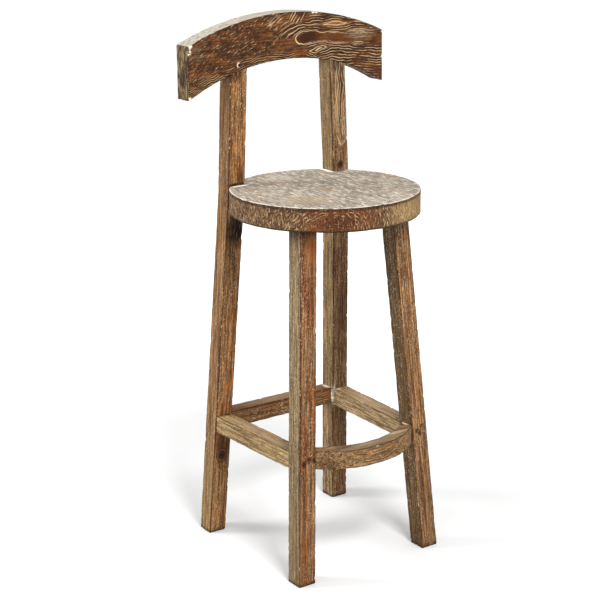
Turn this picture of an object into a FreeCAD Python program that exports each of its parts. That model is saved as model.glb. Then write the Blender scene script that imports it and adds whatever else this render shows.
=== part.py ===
import FreeCAD, Part
import Sketcher
import math
import os

# Bar stool with a footrest, in reclaimed hardwood with pegged mortise-and-tenon joints.
# Millimetres, +Z up, the front of the stool towards -Y.  The origin is on the floor, at the
# middle of the stool's overall box.

SIZES = [
    # alias, millimetres, what it is
    ("leg_width", 39.0, "square section of every leg, measured level"),
    ("foot_ease", 2.5, "how much each face of a foot is eased at the floor"),
    ("foot_ease_rise", 3.0, "height of that easing"),
    ("front_foot_x", 155.0, "front leg centre at the floor, out from the middle"),
    ("front_foot_y", -143.2, "front leg centre at the floor, fore and aft"),
    ("front_top_x", 109.5, "front leg centre under the seat"),
    ("front_top_y", -89.5, "front leg centre under the seat"),
    ("back_foot_x", 160.3, "back leg centre at the floor"),
    ("back_foot_y", 178.0, "back leg centre at the floor"),
    ("post_top_x", 117.6, "back leg centre at its top"),
    ("post_y", 129.0, "back leg centre above the kink"),
    ("kink_z", 730.0, "height where the back leg turns upright"),
    ("post_top_z", 990.0, "height to which the back leg is drawn before the crest trims it"),
    ("seat_top", 750.0, "height of the seat"),
    ("seat_thick", 47.0, "thickness of the seat"),
    ("seat_dia", 375.0, "diameter of the seat"),
    ("seat_y", -9.8, "centre of the seat, fore and aft"),
    ("seat_round", 2.0, "rounding of the seat's two edges"),
    ("board_split_left", -25.0, "glue line between the left and middle seat boards"),
    ("board_split_right", 85.0, "glue line between the middle and right seat boards"),
    ("dowel_dia", 10.0, "seat dowel"),
    ("dowel_length", 44.0, "seat dowel"),
    ("dowel_spacing", 130.0, "from one seat dowel to the next"),
    ("crest_width", 466.0, "crest rail, end to end"),
    ("crest_thick", 42.5, "crest rail, front to back"),
    ("crest_front_y", 108.5, "front face of the crest rail"),
    ("crest_top_z", 1080.5, "top of the arch"),
    ("crest_under_z", 988.3, "underside of the arch at its middle"),
    ("crest_top_radius", 560.0, "radius of the top edge"),
    ("crest_under_radius", 461.0, "radius of the underside"),
    ("post_tenon_thick", 14.0, "tenon on the top of a back leg, fore and aft"),
    ("post_tenon_wide", 27.0, "the same tenon, side to side"),
    ("post_tenon_root_z", 918.8, "height inside the post where the block that makes the tenon starts"),
    ("post_tenon_top", 1018.0, "height of that tenon's end"),
    ("leg_tenon_width", 23.0, "square tenon of a front leg in the seat"),
    ("leg_tenon_high", 30.0, "its length"),
    ("side_width", 34.0, "left stretcher, across"),
    ("side_right_width", 36.0, "right stretcher, across"),
    ("side_high", 37.5, "side stretchers, top to bottom"),
    ("side_left_top", 265.5, "height of the left stretcher's top"),
    ("side_right_top", 263.5, "height of the right stretcher's top"),
    ("side_inset", 0.4, "side stretcher's outer face behind the legs' outer faces, at its top"),
    ("back_width", 36.0, "back stretcher, fore and aft"),
    ("back_high", 35.5, "back stretcher, top to bottom"),
    ("back_top", 266.0, "height of the back stretcher's top"),
    ("back_inset", 0.4, "back stretcher's rear face before the legs' rear faces, at its top"),
    ("rest_high", 38.5, "footrest, top to bottom"),
    ("rest_top", 267.0, "height of the footrest's top"),
    ("rest_wide", 32.0, "footrest across at its middle"),
    ("rest_bow", 48.5, "how far the footrest bows out in front of its ends"),
    ("rest_end_front", -139.0, "front of the footrest where its arcs end, just inside the legs"),
    ("rest_end_rear", -108.0, "rear of the footrest at the same place"),
    ("rest_end_x", 122.0, "that place, out from the middle"),
    ("rest_root", 9.0, "how far the footrest's blank runs on inside the leg"),
    ("tenon_thick", 11.0, "stretcher tenons, across"),
    ("tenon_high", 24.0, "stretcher tenons, top to bottom"),
    ("tenon_long", 27.0, "footrest tenons, and side stretcher tenons in the back legs"),
    ("tenon_short", 17.0, "side stretcher tenons in the front legs, and back stretcher tenons"),
    ("tenon_root", 12.0, "length of a tenon's tool that lies inside its own rail"),
    ("tenon_offset", 4.0, "side stretcher tenons set outwards, clear of the back stretcher's"),
    ("rest_tenon_y", -131.0, "middle of the footrest tenons, ahead of the side stretchers'"),
    ("peg_dia", 8.0, "peg through a tenon"),
    ("peg_depth", 20.0, "depth of the footrest pegs"),
    ("side_peg_depth", 20.0, "depth of the side stretcher pegs"),
    ("back_peg_depth", 28.0, "depth of the back stretcher pegs"),
    ("crest_peg_depth", 34.0, "depth of the crest pegs"),
    ("peg_setback", 17.0, "footrest pegs, from the leg's inner face"),
    ("side_peg_setback", 16.0, "side stretcher pegs, from the back leg's rear face"),
    ("back_peg_setback", 9.0, "back stretcher pegs, from the back leg's inner face"),
    ("crest_peg_z", 985.5, "height of the crest pegs"),
    ("peg_step", 5.0, "right footrest peg above the left one"),
    ("screw_y", 122.5, "screws that hold a back leg to the seat, fore and aft"),
    ("screw_low_z", 712.0, "height of the lower screw"),
    ("screw_high_z", 737.0, "height of the upper screw"),
    ("plug_dia", 9.0, "wooden plug over a screw head"),
    ("plug_depth", 9.0, "its depth"),
    ("screw_head_dia", 8.6, "countersunk head"),
    ("screw_head_high", 4.0, "its height"),
    ("screw_dia", 5.0, "screw shank"),
    ("screw_length", 49.0, "shank below the head"),
    ("screw_tip", 6.0, "pointed end"),
    ("reach", 20.0, "how far a cutting tool runs past the face that it enters"),
]

SIDES = {"left": -1, "right": 1}

doc = FreeCAD.newDocument("bar_stool")


# ---------------------------------------------------------------- sheet and expressions

def make_sheet():
    """Write the driving dimensions, one named cell to a row."""
    sheet = doc.addObject("Spreadsheet::Sheet", "sizes")
    for row, (alias, value, note) in enumerate(SIZES, start=1):
        sheet.set(f"A{row}", note)
        sheet.set(f"B{row}", str(value))
        sheet.setAlias(f"B{row}", alias)
    doc.recompute()
    return sheet


def bind(item, **expressions):
    """Bind an object's properties to expressions.  A double underscore stands for a dot."""
    for name, expression in expressions.items():
        item.setExpression(name.replace("__", "."), expression)


def place(item, x, y, z, rotation=FreeCAD.Rotation()):
    """Put a primitive at a bound position, with a fixed turn."""
    item.Placement = FreeCAD.Placement(FreeCAD.Vector(), rotation)
    bind(item, Placement__Base__x=x, Placement__Base__y=y, Placement__Base__z=z)


def between(low, high, bottom, top, z):
    """Expression that runs evenly from low at height bottom to high at height top."""
    return f"({low} + ({high} - {low}) * (({z}) - ({bottom})) / (({top}) - ({bottom})))"


SEAT_UNDER = "(sizes.seat_top - sizes.seat_thick)"
REST_MIDDLE = "(sizes.rest_top - sizes.rest_high / 2)"
HALF_LEG = "(sizes.leg_width / 2)"


def front_x(z):
    """Front leg centre at height z, out from the middle."""
    return between("sizes.front_foot_x", "sizes.front_top_x", "0", SEAT_UNDER, z)


def front_y(z):
    return between("sizes.front_foot_y", "sizes.front_top_y", "0", SEAT_UNDER, z)


def back_x(z):
    """Back leg centre at height z, out from the middle: one straight lean up to the crest."""
    return between("sizes.back_foot_x", "sizes.post_top_x", "0", "sizes.post_top_z", z)


def back_y(z):
    """Back leg centre at height z below the kink."""
    return between("sizes.back_foot_y", "sizes.post_y", "0", "sizes.kink_z", z)


# ---------------------------------------------------------------- sketches and bodies

def new_sketch(body, name, role, x="0", y="0", z="0"):
    """A sketch on an origin plane of its own body, shifted by expressions."""
    sketch = body.newObject("Sketcher::SketchObject", name)
    for origin_plane in body.Origin.OriginFeatures:
        if origin_plane.Role == role:
            sketch.AttachmentSupport = [(origin_plane, "")]
    sketch.MapMode = "FlatFace"
    bind(
        sketch,
        AttachmentOffset__Base__x=x,
        AttachmentOffset__Base__y=y,
        AttachmentOffset__Base__z=z,
    )
    return sketch


def relate(sketch, *relations):
    """Add constraints that carry no dimension."""
    for relation in relations:
        sketch.addConstraint(Sketcher.Constraint(*relation))


def dimension(sketch, name, expression, value, *where):
    """Add a named dimension, near its value to begin with, and bind it to an expression."""
    index = sketch.addConstraint(Sketcher.Constraint(*where, value))
    sketch.renameConstraint(index, name)
    sketch.setExpression(f"Constraints.{name}", expression)


def add_line(sketch, start, end):
    """A straight edge between two (x, y) points."""
    return sketch.addGeometry(Part.LineSegment(FreeCAD.Vector(*start, 0), FreeCAD.Vector(*end, 0)), False)


def add_arc(sketch, radius, centre_y, half_width, upwards):
    """An arc centred on the sketch's Y axis.  It runs counter-clockwise between x = +-half_width."""
    circle = Part.Circle(FreeCAD.Vector(0, centre_y, 0), FreeCAD.Vector(0, 0, 1), radius)
    swing = math.asin(half_width / radius)
    middle = math.pi / 2 if upwards else -math.pi / 2
    return sketch.addGeometry(Part.ArcOfCircle(circle, middle - swing, middle + swing), False)


def square_section(body, name, x, y, z, width):
    """A level square centred on (x, y) at height z."""
    sketch = new_sketch(body, name, "XY_Plane", x, y, z)
    corners = [(-20, -20), (20, -20), (20, 20), (-20, 20)]
    for number in range(4):
        add_line(sketch, corners[number], corners[(number + 1) % 4])
    for number in range(4):
        relate(sketch, ("Coincident", number, 2, (number + 1) % 4, 1))
    relate(sketch, ("Horizontal", 0), ("Vertical", 1), ("Horizontal", 2), ("Vertical", 3))
    relate(sketch, ("Symmetric", 0, 1, 2, 1, -1, 1))
    dimension(sketch, "across", width, 40, "DistanceX", 0, 1, 0, 2)
    dimension(sketch, "along", width, 40, "DistanceY", 1, 1, 1, 2)
    return sketch


def pad(body, sketch, length):
    """Raise a sketch by a bound length."""
    feature = body.newObject("PartDesign::Pad", f"{sketch.Name}_pad")
    feature.Profile = sketch
    bind(feature, Length=length)
    doc.recompute()
    return feature


def leg_blank(name, stations):
    """A leg before its joints are cut: level squares, with flat faces from one to the next.

    A station is (x, y, z, width), all expressions.
    """
    body = doc.addObject("PartDesign::Body", f"{name}_blank")
    sections = []
    for number, (x, y, z, width) in enumerate(stations):
        sections.append(square_section(body, f"{name}_section_{number}", x, y, z, width))
    doc.recompute()
    loft = body.newObject("PartDesign::AdditiveLoft", f"{name}_loft")
    loft.Profile = sections[0]
    loft.Sections = sections[1:]
    loft.Ruled = True
    doc.recompute()
    return body


def front_leg_blank(name, side):
    """Front leg: eased at the floor, then straight up to the underside of the seat."""
    stations = []
    for z, width in (
        ("0", "sizes.leg_width - 2 * sizes.foot_ease"),
        ("sizes.foot_ease_rise", "sizes.leg_width"),
        (SEAT_UNDER, "sizes.leg_width"),
    ):
        stations.append((f"{side} * {front_x(z)}", front_y(z), z, width))
    return leg_blank(name, stations)


def back_leg_blank(name, side):
    """Back leg: raked back below the kink, upright above it, in one piece up into the crest."""
    stations = []
    for z, y, width in (
        ("0", back_y("0"), "sizes.leg_width - 2 * sizes.foot_ease"),
        ("sizes.foot_ease_rise", back_y("sizes.foot_ease_rise"), "sizes.leg_width"),
        ("sizes.kink_z", "sizes.post_y", "sizes.leg_width"),
        ("sizes.post_top_z", "sizes.post_y", "sizes.leg_width"),
    ):
        stations.append((f"{side} * {back_x(z)}", y, z, width))
    return leg_blank(name, stations)


def seat_blank():
    """The round seat in one piece, before it is split into its boards."""
    body = doc.addObject("PartDesign::Body", "seat_blank")
    sketch = new_sketch(body, "seat_circle", "XY_Plane", "0", "sizes.seat_y", SEAT_UNDER)
    circle = Part.Circle(FreeCAD.Vector(), FreeCAD.Vector(0, 0, 1), 187)
    sketch.addGeometry(circle, False)
    relate(sketch, ("Coincident", 0, 3, -1, 1))
    dimension(sketch, "across", "sizes.seat_dia", 374, "Diameter", 0)
    disc = pad(body, sketch, "sizes.seat_thick")
    rims = []
    for number, edge in enumerate(disc.Shape.Edges, start=1):
        if isinstance(edge.Curve, Part.Circle):
            rims.append(f"Edge{number}")
    rounding = body.newObject("PartDesign::Fillet", "seat_rim_rounding")
    rounding.Base = (disc, rims)
    bind(rounding, Radius="sizes.seat_round")
    doc.recompute()
    return body


def crest_blank(sheet):
    """The crest rail: a thick board sawn to an arch, with upright ends."""
    body = doc.addObject("PartDesign::Body", "crest_blank")
    rear = "-(sizes.crest_front_y + sizes.crest_thick)"
    sketch = new_sketch(body, "crest_arch", "XZ_Plane", z=rear)
    half = sheet.crest_width / 2
    corners = []
    for radius, apex in (
        (sheet.crest_top_radius, sheet.crest_top_z),
        (sheet.crest_under_radius, sheet.crest_under_z),
    ):
        add_arc(sketch, radius, apex - radius, half, upwards=True)
        corners.append(apex - radius + math.sqrt(radius ** 2 - half ** 2))
    add_line(sketch, (half, corners[0]), (half, corners[1]))
    add_line(sketch, (-half, corners[1]), (-half, corners[0]))
    relate(
        sketch,
        ("Coincident", 2, 1, 0, 1),
        ("Coincident", 2, 2, 1, 1),
        ("Coincident", 3, 1, 1, 2),
        ("Coincident", 3, 2, 0, 2),
        ("PointOnObject", 0, 3, -2),
        ("PointOnObject", 1, 3, -2),
        ("Vertical", 2),
        ("Vertical", 3),
        ("Horizontal", 0, 1, 0, 2),
    )
    top, under = 0, 1
    dimension(sketch, "top_radius", "sizes.crest_top_radius", sheet.crest_top_radius, "Radius", top)
    dimension(sketch, "under_radius", "sizes.crest_under_radius", sheet.crest_under_radius, "Radius", under)
    dimension(
        sketch, "top_centre", "sizes.crest_top_z - sizes.crest_top_radius",
        sheet.crest_top_z - sheet.crest_top_radius, "DistanceY", -1, 1, top, 3,
    )
    dimension(
        sketch, "under_centre", "sizes.crest_under_z - sizes.crest_under_radius",
        sheet.crest_under_z - sheet.crest_under_radius, "DistanceY", -1, 1, under, 3,
    )
    dimension(sketch, "across", "sizes.crest_width", 2 * half, "DistanceX", 3, 1, 2, 2)
    pad(body, sketch, "sizes.crest_thick")
    return body


def arc_radius(half_chord, rise):
    """Radius of the arc that rises by rise over a chord of twice half_chord."""
    return (half_chord ** 2 + rise ** 2) / (2 * rise)


def footrest_blank(sheet):
    """The curved footrest, bowed towards the front, with stubs that end inside the legs."""
    body = doc.addObject("PartDesign::Body", "footrest_blank")
    sketch = new_sketch(body, "footrest_plan", "XY_Plane", z="sizes.rest_top - sizes.rest_high")
    end_x = sheet.rest_end_x
    root = sheet.rest_root
    front = sheet.rest_end_front
    rear = sheet.rest_end_rear
    apex = front - sheet.rest_bow
    inner_apex = apex + sheet.rest_wide
    outer_radius = arc_radius(end_x, front - apex)
    inner_radius = arc_radius(end_x, rear - inner_apex)
    add_arc(sketch, outer_radius, apex + outer_radius, end_x, upwards=False)
    add_arc(sketch, inner_radius, inner_apex + inner_radius, end_x, upwards=False)
    for side in (-1, 1):
        add_line(sketch, (side * end_x, front), (side * (end_x + root), front + root))
        add_line(sketch, (side * (end_x + root), front + root), (side * (end_x + root), rear - root / 2))
        add_line(sketch, (side * (end_x + root), rear - root / 2), (side * end_x, rear))
    # Each arc starts at the left and ends at the right.
    for end, first in ((1, 2), (2, 5)):
        relate(
            sketch,
            ("Coincident", 0, end, first, 1),
            ("Coincident", first, 2, first + 1, 1),
            ("Coincident", first + 1, 2, first + 2, 1),
            ("Coincident", first + 2, 2, 1, end),
        )
    relate(
        sketch,
        ("Vertical", 6),
        ("Symmetric", 0, 1, 0, 2, -2),
        ("Symmetric", 1, 1, 1, 2, -2),
        ("Symmetric", 2, 2, 5, 2, -2),
        ("Symmetric", 3, 2, 6, 2, -2),
    )
    origin = (-1, 1)
    dimension(sketch, "end_x", "sizes.rest_end_x", end_x, "DistanceX", *origin, 0, 2)
    dimension(sketch, "end_front", "sizes.rest_end_front", front, "DistanceY", *origin, 0, 2)
    dimension(sketch, "inner_end_x", "sizes.rest_end_x", end_x, "DistanceX", *origin, 1, 2)
    dimension(sketch, "end_rear", "sizes.rest_end_rear", rear, "DistanceY", *origin, 1, 2)
    dimension(sketch, "root_x", "sizes.rest_root", root, "DistanceX", 0, 2, 5, 2)
    dimension(sketch, "root_front", "sizes.rest_root", root, "DistanceY", 0, 2, 5, 2)
    dimension(sketch, "root_rear", "sizes.rest_root / 2", root / 2, "DistanceY", 6, 2, 1, 2)
    outer = "(sizes.rest_end_x ^ 2 + sizes.rest_bow ^ 2) / (2 * sizes.rest_bow)"
    inner_bow = "(sizes.rest_end_rear - sizes.rest_end_front + sizes.rest_bow - sizes.rest_wide)"
    inner = f"(sizes.rest_end_x ^ 2 + {inner_bow} ^ 2) / (2 * {inner_bow})"
    dimension(sketch, "outer_radius", outer, outer_radius, "Radius", 0)
    dimension(sketch, "inner_radius", inner, inner_radius, "Radius", 1)
    pad(body, sketch, "sizes.rest_high")
    return body


# ---------------------------------------------------------------- primitives and joints

def block(name, x, y, z, length, width, height):
    """A box from its low corner, all expressions."""
    item = doc.addObject("Part::Box", name)
    bind(item, Length=length, Width=width, Height=height)
    place(item, x, y, z)
    return item


def rod(name, x, y, z, direction, diameter, length):
    """A round bar from one end, along X, -X, Y or -Y."""
    turns = {
        "+X": FreeCAD.Rotation(FreeCAD.Vector(0, 1, 0), 90),
        "-X": FreeCAD.Rotation(FreeCAD.Vector(0, 1, 0), -90),
        "+Y": FreeCAD.Rotation(FreeCAD.Vector(1, 0, 0), -90),
        "-Y": FreeCAD.Rotation(FreeCAD.Vector(1, 0, 0), 90),
    }
    item = doc.addObject("Part::Cylinder", name)
    bind(item, Radius=f"({diameter}) / 2", Height=length)
    place(item, x, y, z, turns[direction])
    return item


def beam(name, start, end, begin, length, shift, width, bottom, height):
    """A level box along the line from start to end, two (x, y) points given as expressions.

    It starts a distance begin along the line, and its right-hand face lies shift to the left of
    the line.
    """
    run_x = f"(({end[0]}) - ({start[0]}))"
    run_y = f"(({end[1]}) - ({start[1]}))"
    angle = f"atan2({run_y}; {run_x})"
    item = doc.addObject("Part::Box", name)
    bind(item, Length=length, Width=width, Height=height)
    x = f"({start[0]}) + ({begin}) * cos({angle}) - ({shift}) * sin({angle})"
    y = f"({start[1]}) + ({begin}) * sin({angle}) + ({shift}) * cos({angle})"
    place(item, x, y, bottom, FreeCAD.Rotation(FreeCAD.Vector(0, 0, 1), 1))
    bind(item, Placement__Rotation__Angle=angle)
    return item


def fuse(name, pieces):
    """Several solids as one."""
    item = doc.addObject("Part::MultiFuse", name)
    item.Shapes = pieces
    return item


def cut(name, base, tools):
    """The base with every tool taken away."""
    item = doc.addObject("Part::Cut", name)
    item.Base = base
    item.Tool = tools[0] if len(tools) == 1 else fuse(f"{name}_tools", tools)
    return item


def common(name, base, tool):
    """What two solids share."""
    item = doc.addObject("Part::Common", name)
    item.Base = base
    item.Tool = tool
    return item


def group(name, pieces):
    """Identical fasteners, as separate solids of one sub-part."""
    item = doc.addObject("Part::Compound", name)
    item.Links = pieces
    return item


def label(item, name):
    """Name a finished sub-part after its node and put it in the list that is written out."""
    item.Label = name
    finished.append(item)
    return item


finished = []


# ---------------------------------------------------------------- the stool

def side_line(side, width, top):
    """The middle line of a side stretcher in plan, from the front leg's centre to the back leg's."""
    middle = f"({top} - sizes.side_high / 2)"
    inward = f"{HALF_LEG} - sizes.side_inset - ({width}) / 2"
    start = (f"{side} * ({front_x(top)} + {inward})", front_y(middle))
    end = (f"{side} * ({back_x(top)} + {inward})", back_y(middle))
    return start, end, middle


def make_side_stretcher(name, side, width, top, legs):
    """A straight rail between a front and a back leg, with a tenon at each end."""
    start, end, middle = side_line(side, width, top)
    run = f"sqrt((({end[0]}) - ({start[0]})) ^ 2 + (({end[1]}) - ({start[1]})) ^ 2)"
    bar = beam(
        f"{name}_bar", start, end, "0", run, f"-({width}) / 2", width,
        f"{top} - sizes.side_high", "sizes.side_high",
    )
    # The line runs rearwards, so its left is towards -X: outwards on the left side only.
    shift = f"{-side} * sizes.tenon_offset - sizes.tenon_thick / 2"
    bottom = f"{middle} - sizes.tenon_high / 2"
    front_tenon = beam(
        f"{name}_front_tenon", start, end, f"{HALF_LEG} - sizes.tenon_short",
        "sizes.tenon_short + sizes.tenon_root", shift, "sizes.tenon_thick", bottom, "sizes.tenon_high",
    )
    rear_tenon = beam(
        f"{name}_rear_tenon", start, end, f"{run} - {HALF_LEG} - sizes.tenon_root",
        "sizes.tenon_long + sizes.tenon_root", shift, "sizes.tenon_thick", bottom, "sizes.tenon_high",
    )
    shouldered = cut(f"{name}_shouldered", bar, legs)
    return fuse(f"{name}_tenoned", [shouldered, front_tenon, rear_tenon]), front_tenon, rear_tenon


def make_back_stretcher(legs):
    """The straight rail between the two back legs."""
    bottom = "sizes.back_top - sizes.back_high"
    middle = "(sizes.back_top - sizes.back_high / 2)"
    reach = back_x(middle)
    rear = f"({back_y('sizes.back_top')} + {HALF_LEG} - sizes.back_inset)"
    bar = block(
        "back_bar", f"-{reach}", f"{rear} - sizes.back_width", bottom,
        f"2 * {reach}", "sizes.back_width", "sizes.back_high",
    )
    tenons = {}
    for word, side in SIDES.items():
        root = f"({reach} - {HALF_LEG} - sizes.tenon_root)"
        length = "(sizes.tenon_root + sizes.tenon_short)"
        x = f"-({root} + {length})" if side < 0 else root
        tenons[word] = block(
            f"back_tenon_{word}", x, f"{rear} - (sizes.back_width + sizes.tenon_thick) / 2",
            f"{middle} - sizes.tenon_high / 2", length, "sizes.tenon_thick", "sizes.tenon_high",
        )
    shouldered = cut("back_shouldered", bar, legs)
    return fuse("back_tenoned", [shouldered, tenons["left"], tenons["right"]]), tenons


def make_footrest(sheet, legs):
    """The curved rail that the feet rest on, between the two front legs."""
    blank = footrest_blank(sheet)
    inner_face = f"({front_x(REST_MIDDLE)} - {HALF_LEG})"
    tenons = {}
    for word, side in SIDES.items():
        length = "(sizes.tenon_root + sizes.tenon_long)"
        root = f"({inner_face} - sizes.tenon_root)"
        x = f"-({root} + {length})" if side < 0 else root
        tenons[word] = block(
            f"footrest_tenon_{word}", x, "sizes.rest_tenon_y - sizes.tenon_thick / 2",
            f"{REST_MIDDLE} - sizes.tenon_high / 2", length, "sizes.tenon_thick", "sizes.tenon_high",
        )
    shouldered = cut("footrest_shouldered", blank, legs)
    return fuse("footrest_tenoned", [shouldered, tenons["left"], tenons["right"]]), tenons


def screw_tools(name, side, z):
    """A plug's drilling and the countersunk screw under it, from a back leg's outer side."""
    outward = "-X" if side > 0 else "+X"
    outer_face = f"({back_x(z)} + {HALF_LEG})"
    plug = rod(
        f"{name}_plug_tool", f"{side} * ({outer_face} + sizes.reach)", "sizes.screw_y", z,
        outward, "sizes.plug_dia", "sizes.reach + sizes.plug_depth",
    )
    turn = FreeCAD.Rotation(FreeCAD.Vector(0, 1, 0), -90 * side)
    head = doc.addObject("Part::Cone", f"{name}_head")
    bind(
        head, Radius1="sizes.screw_head_dia / 2", Radius2="sizes.screw_dia / 2",
        Height="sizes.screw_head_high",
    )
    head_x = f"({outer_face} - sizes.plug_depth)"
    place(head, f"{side} * {head_x}", "sizes.screw_y", z, turn)
    shank_x = f"({head_x} - sizes.screw_head_high)"
    shank = rod(
        f"{name}_shank", f"{side} * {shank_x}", "sizes.screw_y", z,
        outward, "sizes.screw_dia", "sizes.screw_length",
    )
    tip = doc.addObject("Part::Cone", f"{name}_tip")
    bind(tip, Radius1="sizes.screw_dia / 2", Height="sizes.screw_tip")
    tip.Radius2 = 0
    place(tip, f"{side} * ({shank_x} - sizes.screw_length)", "sizes.screw_y", z, turn)
    return plug, fuse(name, [head, shank, tip])


def build():
    sheet = make_sheet()

    # Blanks: every timber at its outside size, before its joints are cut.
    front = {word: front_leg_blank(f"front_leg_{word}", side) for word, side in SIDES.items()}
    back = {word: back_leg_blank(f"back_leg_{word}", side) for word, side in SIDES.items()}
    seat = seat_blank()
    crest = crest_blank(sheet)

    # Rails, whose shoulders are cut against the legs, and whose tenons also cut the mortises.
    footrest, footrest_tenons = make_footrest(sheet, [front["left"], front["right"]])
    back_rail, back_tenons = make_back_stretcher([back["left"], back["right"]])
    side_rails = {}
    for word, width, top in (
        ("left", "sizes.side_width", "sizes.side_left_top"),
        ("right", "sizes.side_right_width", "sizes.side_right_top"),
    ):
        legs = [front[word], back[word]]
        side_rails[word] = make_side_stretcher(f"side_{word}", SIDES[word], width, top, legs)

    # Pegs, each a drilling that runs past the surface and is trimmed flush with it.
    footrest_drill, side_drill, back_drill, crest_drill = {}, {}, {}, {}
    for word, side in SIDES.items():
        z = REST_MIDDLE if side < 0 else f"({REST_MIDDLE} + sizes.peg_step)"
        footrest_drill[word] = rod(
            f"footrest_drill_{word}", f"{side} * ({front_x(z)} - {HALF_LEG} + sizes.peg_setback)",
            f"{front_y(z)} - {HALF_LEG} - sizes.reach", z,
            "+Y", "sizes.peg_dia", "sizes.reach + sizes.peg_depth",
        )
        z = f"(sizes.side_{word}_top - sizes.side_high / 2)"
        side_drill[word] = rod(
            f"side_drill_{word}", f"{side} * ({back_x(z)} + {HALF_LEG} + sizes.reach)",
            f"{back_y(z)} + {HALF_LEG} - sizes.side_peg_setback", z,
            "-X" if side > 0 else "+X", "sizes.peg_dia", "sizes.reach + sizes.side_peg_depth",
        )
        z = "(sizes.back_top - sizes.back_high / 2)"
        back_drill[word] = rod(
            f"back_drill_{word}", f"{side} * ({back_x(z)} - {HALF_LEG} + sizes.back_peg_setback)",
            f"{back_y(z)} + {HALF_LEG} + sizes.reach", z,
            "-Y", "sizes.peg_dia", "sizes.reach + sizes.back_peg_depth",
        )
        crest_drill[word] = rod(
            f"crest_drill_{word}", f"{side} * {back_x('sizes.crest_peg_z')}",
            "sizes.crest_front_y - sizes.reach", "sizes.crest_peg_z",
            "+Y", "sizes.peg_dia", "sizes.reach + sizes.crest_peg_depth",
        )

    # Screws that pull each back leg to the seat's notch, under wooden plugs.
    screws = {word: [] for word in SIDES}
    plug_tools = {word: [] for word in SIDES}
    for word, side in SIDES.items():
        for level in ("low", "high"):
            tools = screw_tools(f"screw_{word}_{level}", side, f"sizes.screw_{level}_z")
            plug_tools[word].append(tools[0])
            screws[word].append(tools[1])

    # Front legs.
    leg_tenons = {}
    for word, side in SIDES.items():
        middle_x = f"{side} * sizes.front_top_x"
        leg_tenons[word] = block(
            f"front_leg_{word}_tenon", f"{middle_x} - sizes.leg_tenon_width / 2",
            "sizes.front_top_y - sizes.leg_tenon_width / 2", f"{SEAT_UNDER} - sizes.leg_tenon_high / 2",
            "sizes.leg_tenon_width", "sizes.leg_tenon_width", "1.5 * sizes.leg_tenon_high",
        )
        whole = fuse(f"front_leg_{word}_whole", [front[word], leg_tenons[word]])
        cutters = [footrest_tenons[word], side_rails[word][1], footrest_drill[word]]
        label(cut(f"front_leg_{word}_cut", whole, cutters), f"front_leg_{word}")

    # Back legs, whose tops are trimmed to the crest's underside and carry a tenon each.
    post_tenons = {}
    for word, side in SIDES.items():
        low = "sizes.post_tenon_root_z"
        post_tenons[word] = block(
            f"post_tenon_{word}", f"{side} * {back_x('sizes.crest_peg_z')} - sizes.post_tenon_wide / 2",
            "sizes.post_y - sizes.post_tenon_thick / 2", low,
            "sizes.post_tenon_wide", "sizes.post_tenon_thick", f"sizes.post_tenon_top - {low}",
        )
        trimmed = cut(f"back_leg_{word}_trimmed", back[word], [crest])
        whole = fuse(f"back_leg_{word}_whole", [trimmed, post_tenons[word]])
        cutters = [side_rails[word][2], back_tenons[word], side_drill[word], back_drill[word]]
        cutters += [crest_drill[word], *plug_tools[word], *screws[word]]
        label(cut(f"back_leg_{word}_cut", whole, cutters), f"back_leg_{word}")

    # Crest rail.
    crest_cutters = [post_tenons["left"], post_tenons["right"], crest_drill["left"], crest_drill["right"]]
    label(cut("crest_cut", crest, crest_cutters), "crest_rail")

    # Footrest and stretchers.
    rest_cutters = [footrest_drill["left"], footrest_drill["right"]]
    label(cut("footrest_cut", footrest, rest_cutters), "footrest_front")
    label(cut("back_cut", back_rail, [back_drill["left"], back_drill["right"]]), "stretcher_back")
    for word in SIDES:
        label(cut(f"side_{word}_cut", side_rails[word][0], [side_drill[word]]), f"stretcher_{word}")

    # Pegs.
    for word in SIDES:
        label(common(f"footrest_peg_{word}_trim", footrest_drill[word], front[word]), f"footrest_peg_{word}")
        label(common(f"side_peg_{word}_trim", side_drill[word], back[word]), f"side_peg_{word}")
        label(common(f"back_peg_{word}_trim", back_drill[word], back[word]), f"back_peg_{word}")
        label(common(f"crest_peg_{word}_trim", crest_drill[word], crest), f"crest_peg_{word}")

    # Seat: three boards edge to edge, doweled, notched round the back legs.
    dowels = []
    for number, split in enumerate(("sizes.board_split_left", "sizes.board_split_right")):
        for step in (-1, 0, 1):
            dowels.append(rod(
                f"dowel_{number}_{step + 1}", f"{split} - sizes.dowel_length / 2",
                f"sizes.seat_y + {step} * sizes.dowel_spacing", "sizes.seat_top - sizes.seat_thick / 2",
                "+X", "sizes.dowel_dia", "sizes.dowel_length",
            ))
    seat_cutters = [back["left"], back["right"], leg_tenons["left"], leg_tenons["right"], *dowels]
    seat_cutters += screws["left"] + screws["right"]
    seat_cut = cut("seat_cut", seat, seat_cutters)
    edge = "(sizes.seat_dia / 2 + sizes.reach)"
    spans = {
        "left": (f"-{edge}", "sizes.board_split_left"),
        "middle": ("sizes.board_split_left", "sizes.board_split_right"),
        "right": ("sizes.board_split_right", edge),
    }
    for word, (low, high) in spans.items():
        slab = block(
            f"seat_slab_{word}", low, f"sizes.seat_y - {edge}", f"{SEAT_UNDER} - sizes.reach",
            f"({high}) - ({low})", f"2 * {edge}", "sizes.seat_thick + 2 * sizes.reach",
        )
        label(common(f"seat_board_{word}_trim", seat_cut, slab), f"seat_board_{word}")

    # Hidden hardware.
    label(group("dowel_group", dowels), "seat_dowels")
    label(group("screw_group", screws["left"] + screws["right"]), "seat_screws")
    plugs = []
    for word in SIDES:
        for number, tool in enumerate(plug_tools[word]):
            plugs.append(common(f"plug_{word}_{number}", tool, back[word]))
    label(group("plug_group", plugs), "seat_screw_plugs")
    doc.recompute()


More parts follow.
